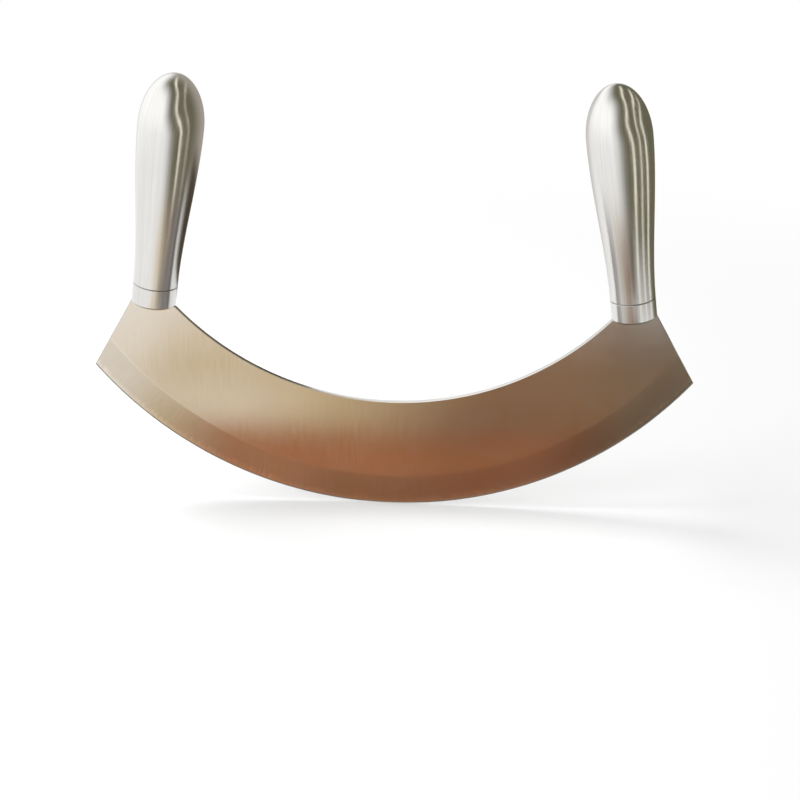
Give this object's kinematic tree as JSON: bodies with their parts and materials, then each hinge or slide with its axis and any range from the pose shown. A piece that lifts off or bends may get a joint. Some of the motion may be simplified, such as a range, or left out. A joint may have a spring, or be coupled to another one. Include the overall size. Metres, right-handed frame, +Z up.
{
  "type": "mezzaluna",
  "caption": "Curved rocking knife with a brushed crescent blade, wide ground bevel, slanted ends and upright hollow steel handles with egg-shaped tops.",
  "frame": {"origin": "the lowest point of the cutting edge, in the middle of the blade's length and thickness", "axes": "+Z up from the edge to the handles, +X along the blade to the right as seen in the picture, +Y away from the camera through the blade's thickness"},
  "size_m": [0.23, 0.0246, 0.1703],
  "materials": {
    "blade_steel": "stainless steel, fine brushed grain, ground bevel at the edge",
    "handle_steel": "stainless steel, satin ground along the handle",
    "pin_steel": "stainless steel rod, plain turned ends",
    "filling_resin": "grey-brown casting resin with mineral filler"
  },
  "bodies": {
    "root": {"blade": "blade_steel", "left_bolster": "handle_steel", "left_bolster_pin": "pin_steel", "left_tang_pin": "pin_steel", "left_filling": "filling_resin", "left_front_shell": "handle_steel", "left_back_shell": "handle_steel", "right_bolster": "handle_steel", "right_bolster_pin": "pin_steel", "right_tang_pin": "pin_steel", "right_filling": "filling_resin", "right_front_shell": "handle_steel", "right_back_shell": "handle_steel"}
  },
  "joints": []
}
